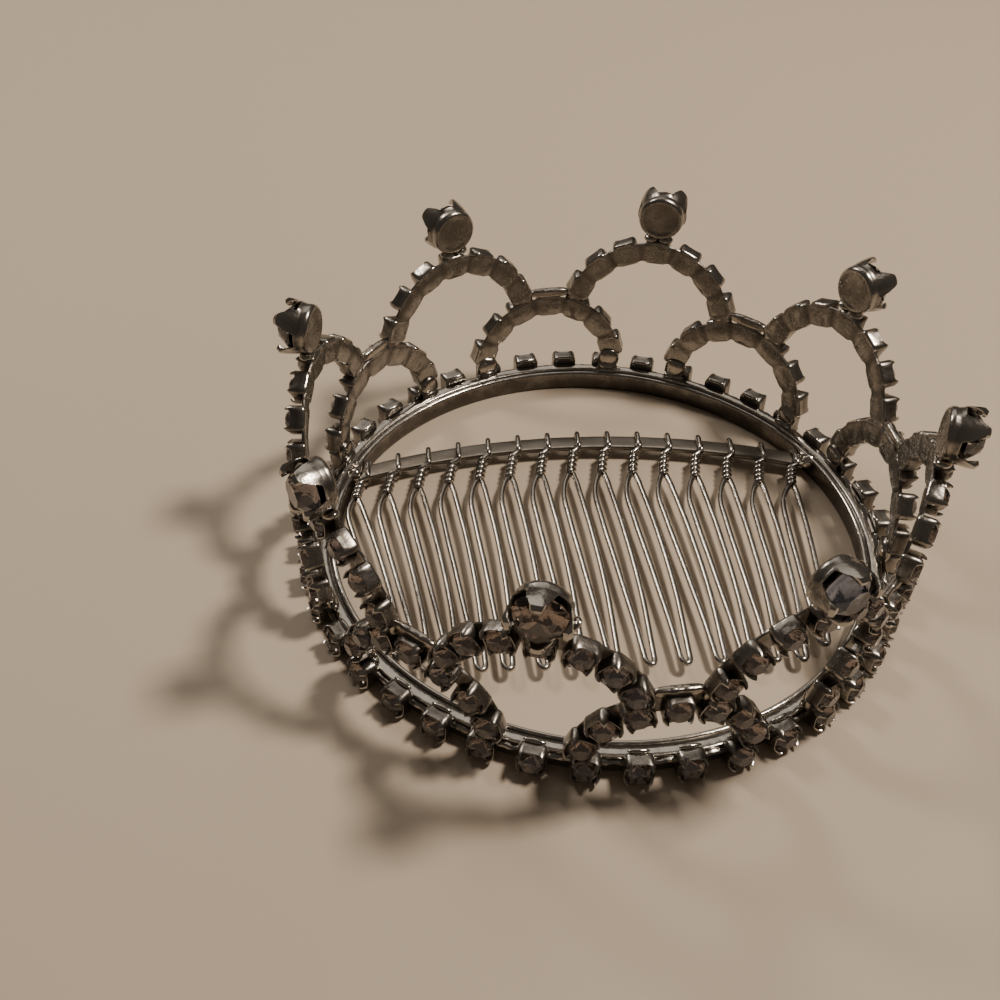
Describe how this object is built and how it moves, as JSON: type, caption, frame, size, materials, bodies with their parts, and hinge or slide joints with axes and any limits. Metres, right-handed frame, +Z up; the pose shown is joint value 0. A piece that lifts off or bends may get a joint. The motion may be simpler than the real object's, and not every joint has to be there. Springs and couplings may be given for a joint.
{
  "type": "bridal tiara",
  "caption": "Round crown tiara of stone settings: two tiers of small and large arches with a big crystal on each top, on a plated ring that holds a wire hair comb.",
  "frame": {"origin": "centre of the ring, on the plane the ring stands on", "axes": "+Z up through the open crown; +Y to the back, towards the comb's spine; -Y to the front, towards the comb's tips; +X to the right seen from the front"},
  "size_m": [0.0746, 0.0746, 0.0289],
  "materials": {
    "polished_plating": "worn bright silver plating",
    "aged_plating": "tarnished silver plating, lumpy at the solder",
    "satin_strip": "satin grey strip",
    "bright_wire": "drawn bright wire",
    "solder": "shiny solder",
    "small_crystal": "foil-backed cut glass",
    "large_crystal": "foil-backed cut glass with a faint iridescent coat"
  },
  "bodies": {
    "root": {"base_band": "polished_plating", "base_cup_chain": "aged_plating", "base_stones": "small_crystal", "small_arch_1": "aged_plating", "small_arch_2": "aged_plating", "small_arch_3": "aged_plating", "small_arch_4": "aged_plating", "small_arch_5": "aged_plating", "small_arch_6": "aged_plating", "small_arch_7": "aged_plating", "small_arch_8": "aged_plating", "small_arch_stones_1": "small_crystal", "small_arch_stones_2": "small_crystal", "small_arch_stones_3": "small_crystal", "small_arch_stones_4": "small_crystal", "small_arch_stones_5": "small_crystal", "small_arch_stones_6": "small_crystal", "small_arch_stones_7": "small_crystal", "small_arch_stones_8": "small_crystal", "large_arch_1": "aged_plating", "large_arch_2": "aged_plating", "large_arch_3": "aged_plating", "large_arch_4": "aged_plating", "large_arch_5": "aged_plating", "large_arch_6": "aged_plating", "large_arch_7": "aged_plating", "large_arch_8": "aged_plating", "large_arch_stones_1": "small_crystal", "large_arch_stones_2": "small_crystal", "large_arch_stones_3": "small_crystal", "large_arch_stones_4": "small_crystal", "large_arch_stones_5": "small_crystal", "large_arch_stones_6": "small_crystal", "large_arch_stones_7": "small_crystal", "large_arch_stones_8": "small_crystal", "top_setting_1": "aged_plating", "top_setting_2": "aged_plating", "top_setting_3": "aged_plating", "top_setting_4": "aged_plating", "top_setting_5": "aged_plating", "top_setting_6": "aged_plating", "top_setting_7": "aged_plating", "top_setting_8": "aged_plating", "top_stone_1": "large_crystal", "top_stone_2": "large_crystal", "top_stone_3": "large_crystal", "top_stone_4": "large_crystal", "top_stone_5": "large_crystal", "top_stone_6": "large_crystal", "top_stone_7": "large_crystal", "top_stone_8": "large_crystal", "comb_spine": "satin_strip", "comb_teeth": "bright_wire", "comb_solder_left": "solder", "comb_solder_right": "solder"}
  },
  "joints": []
}
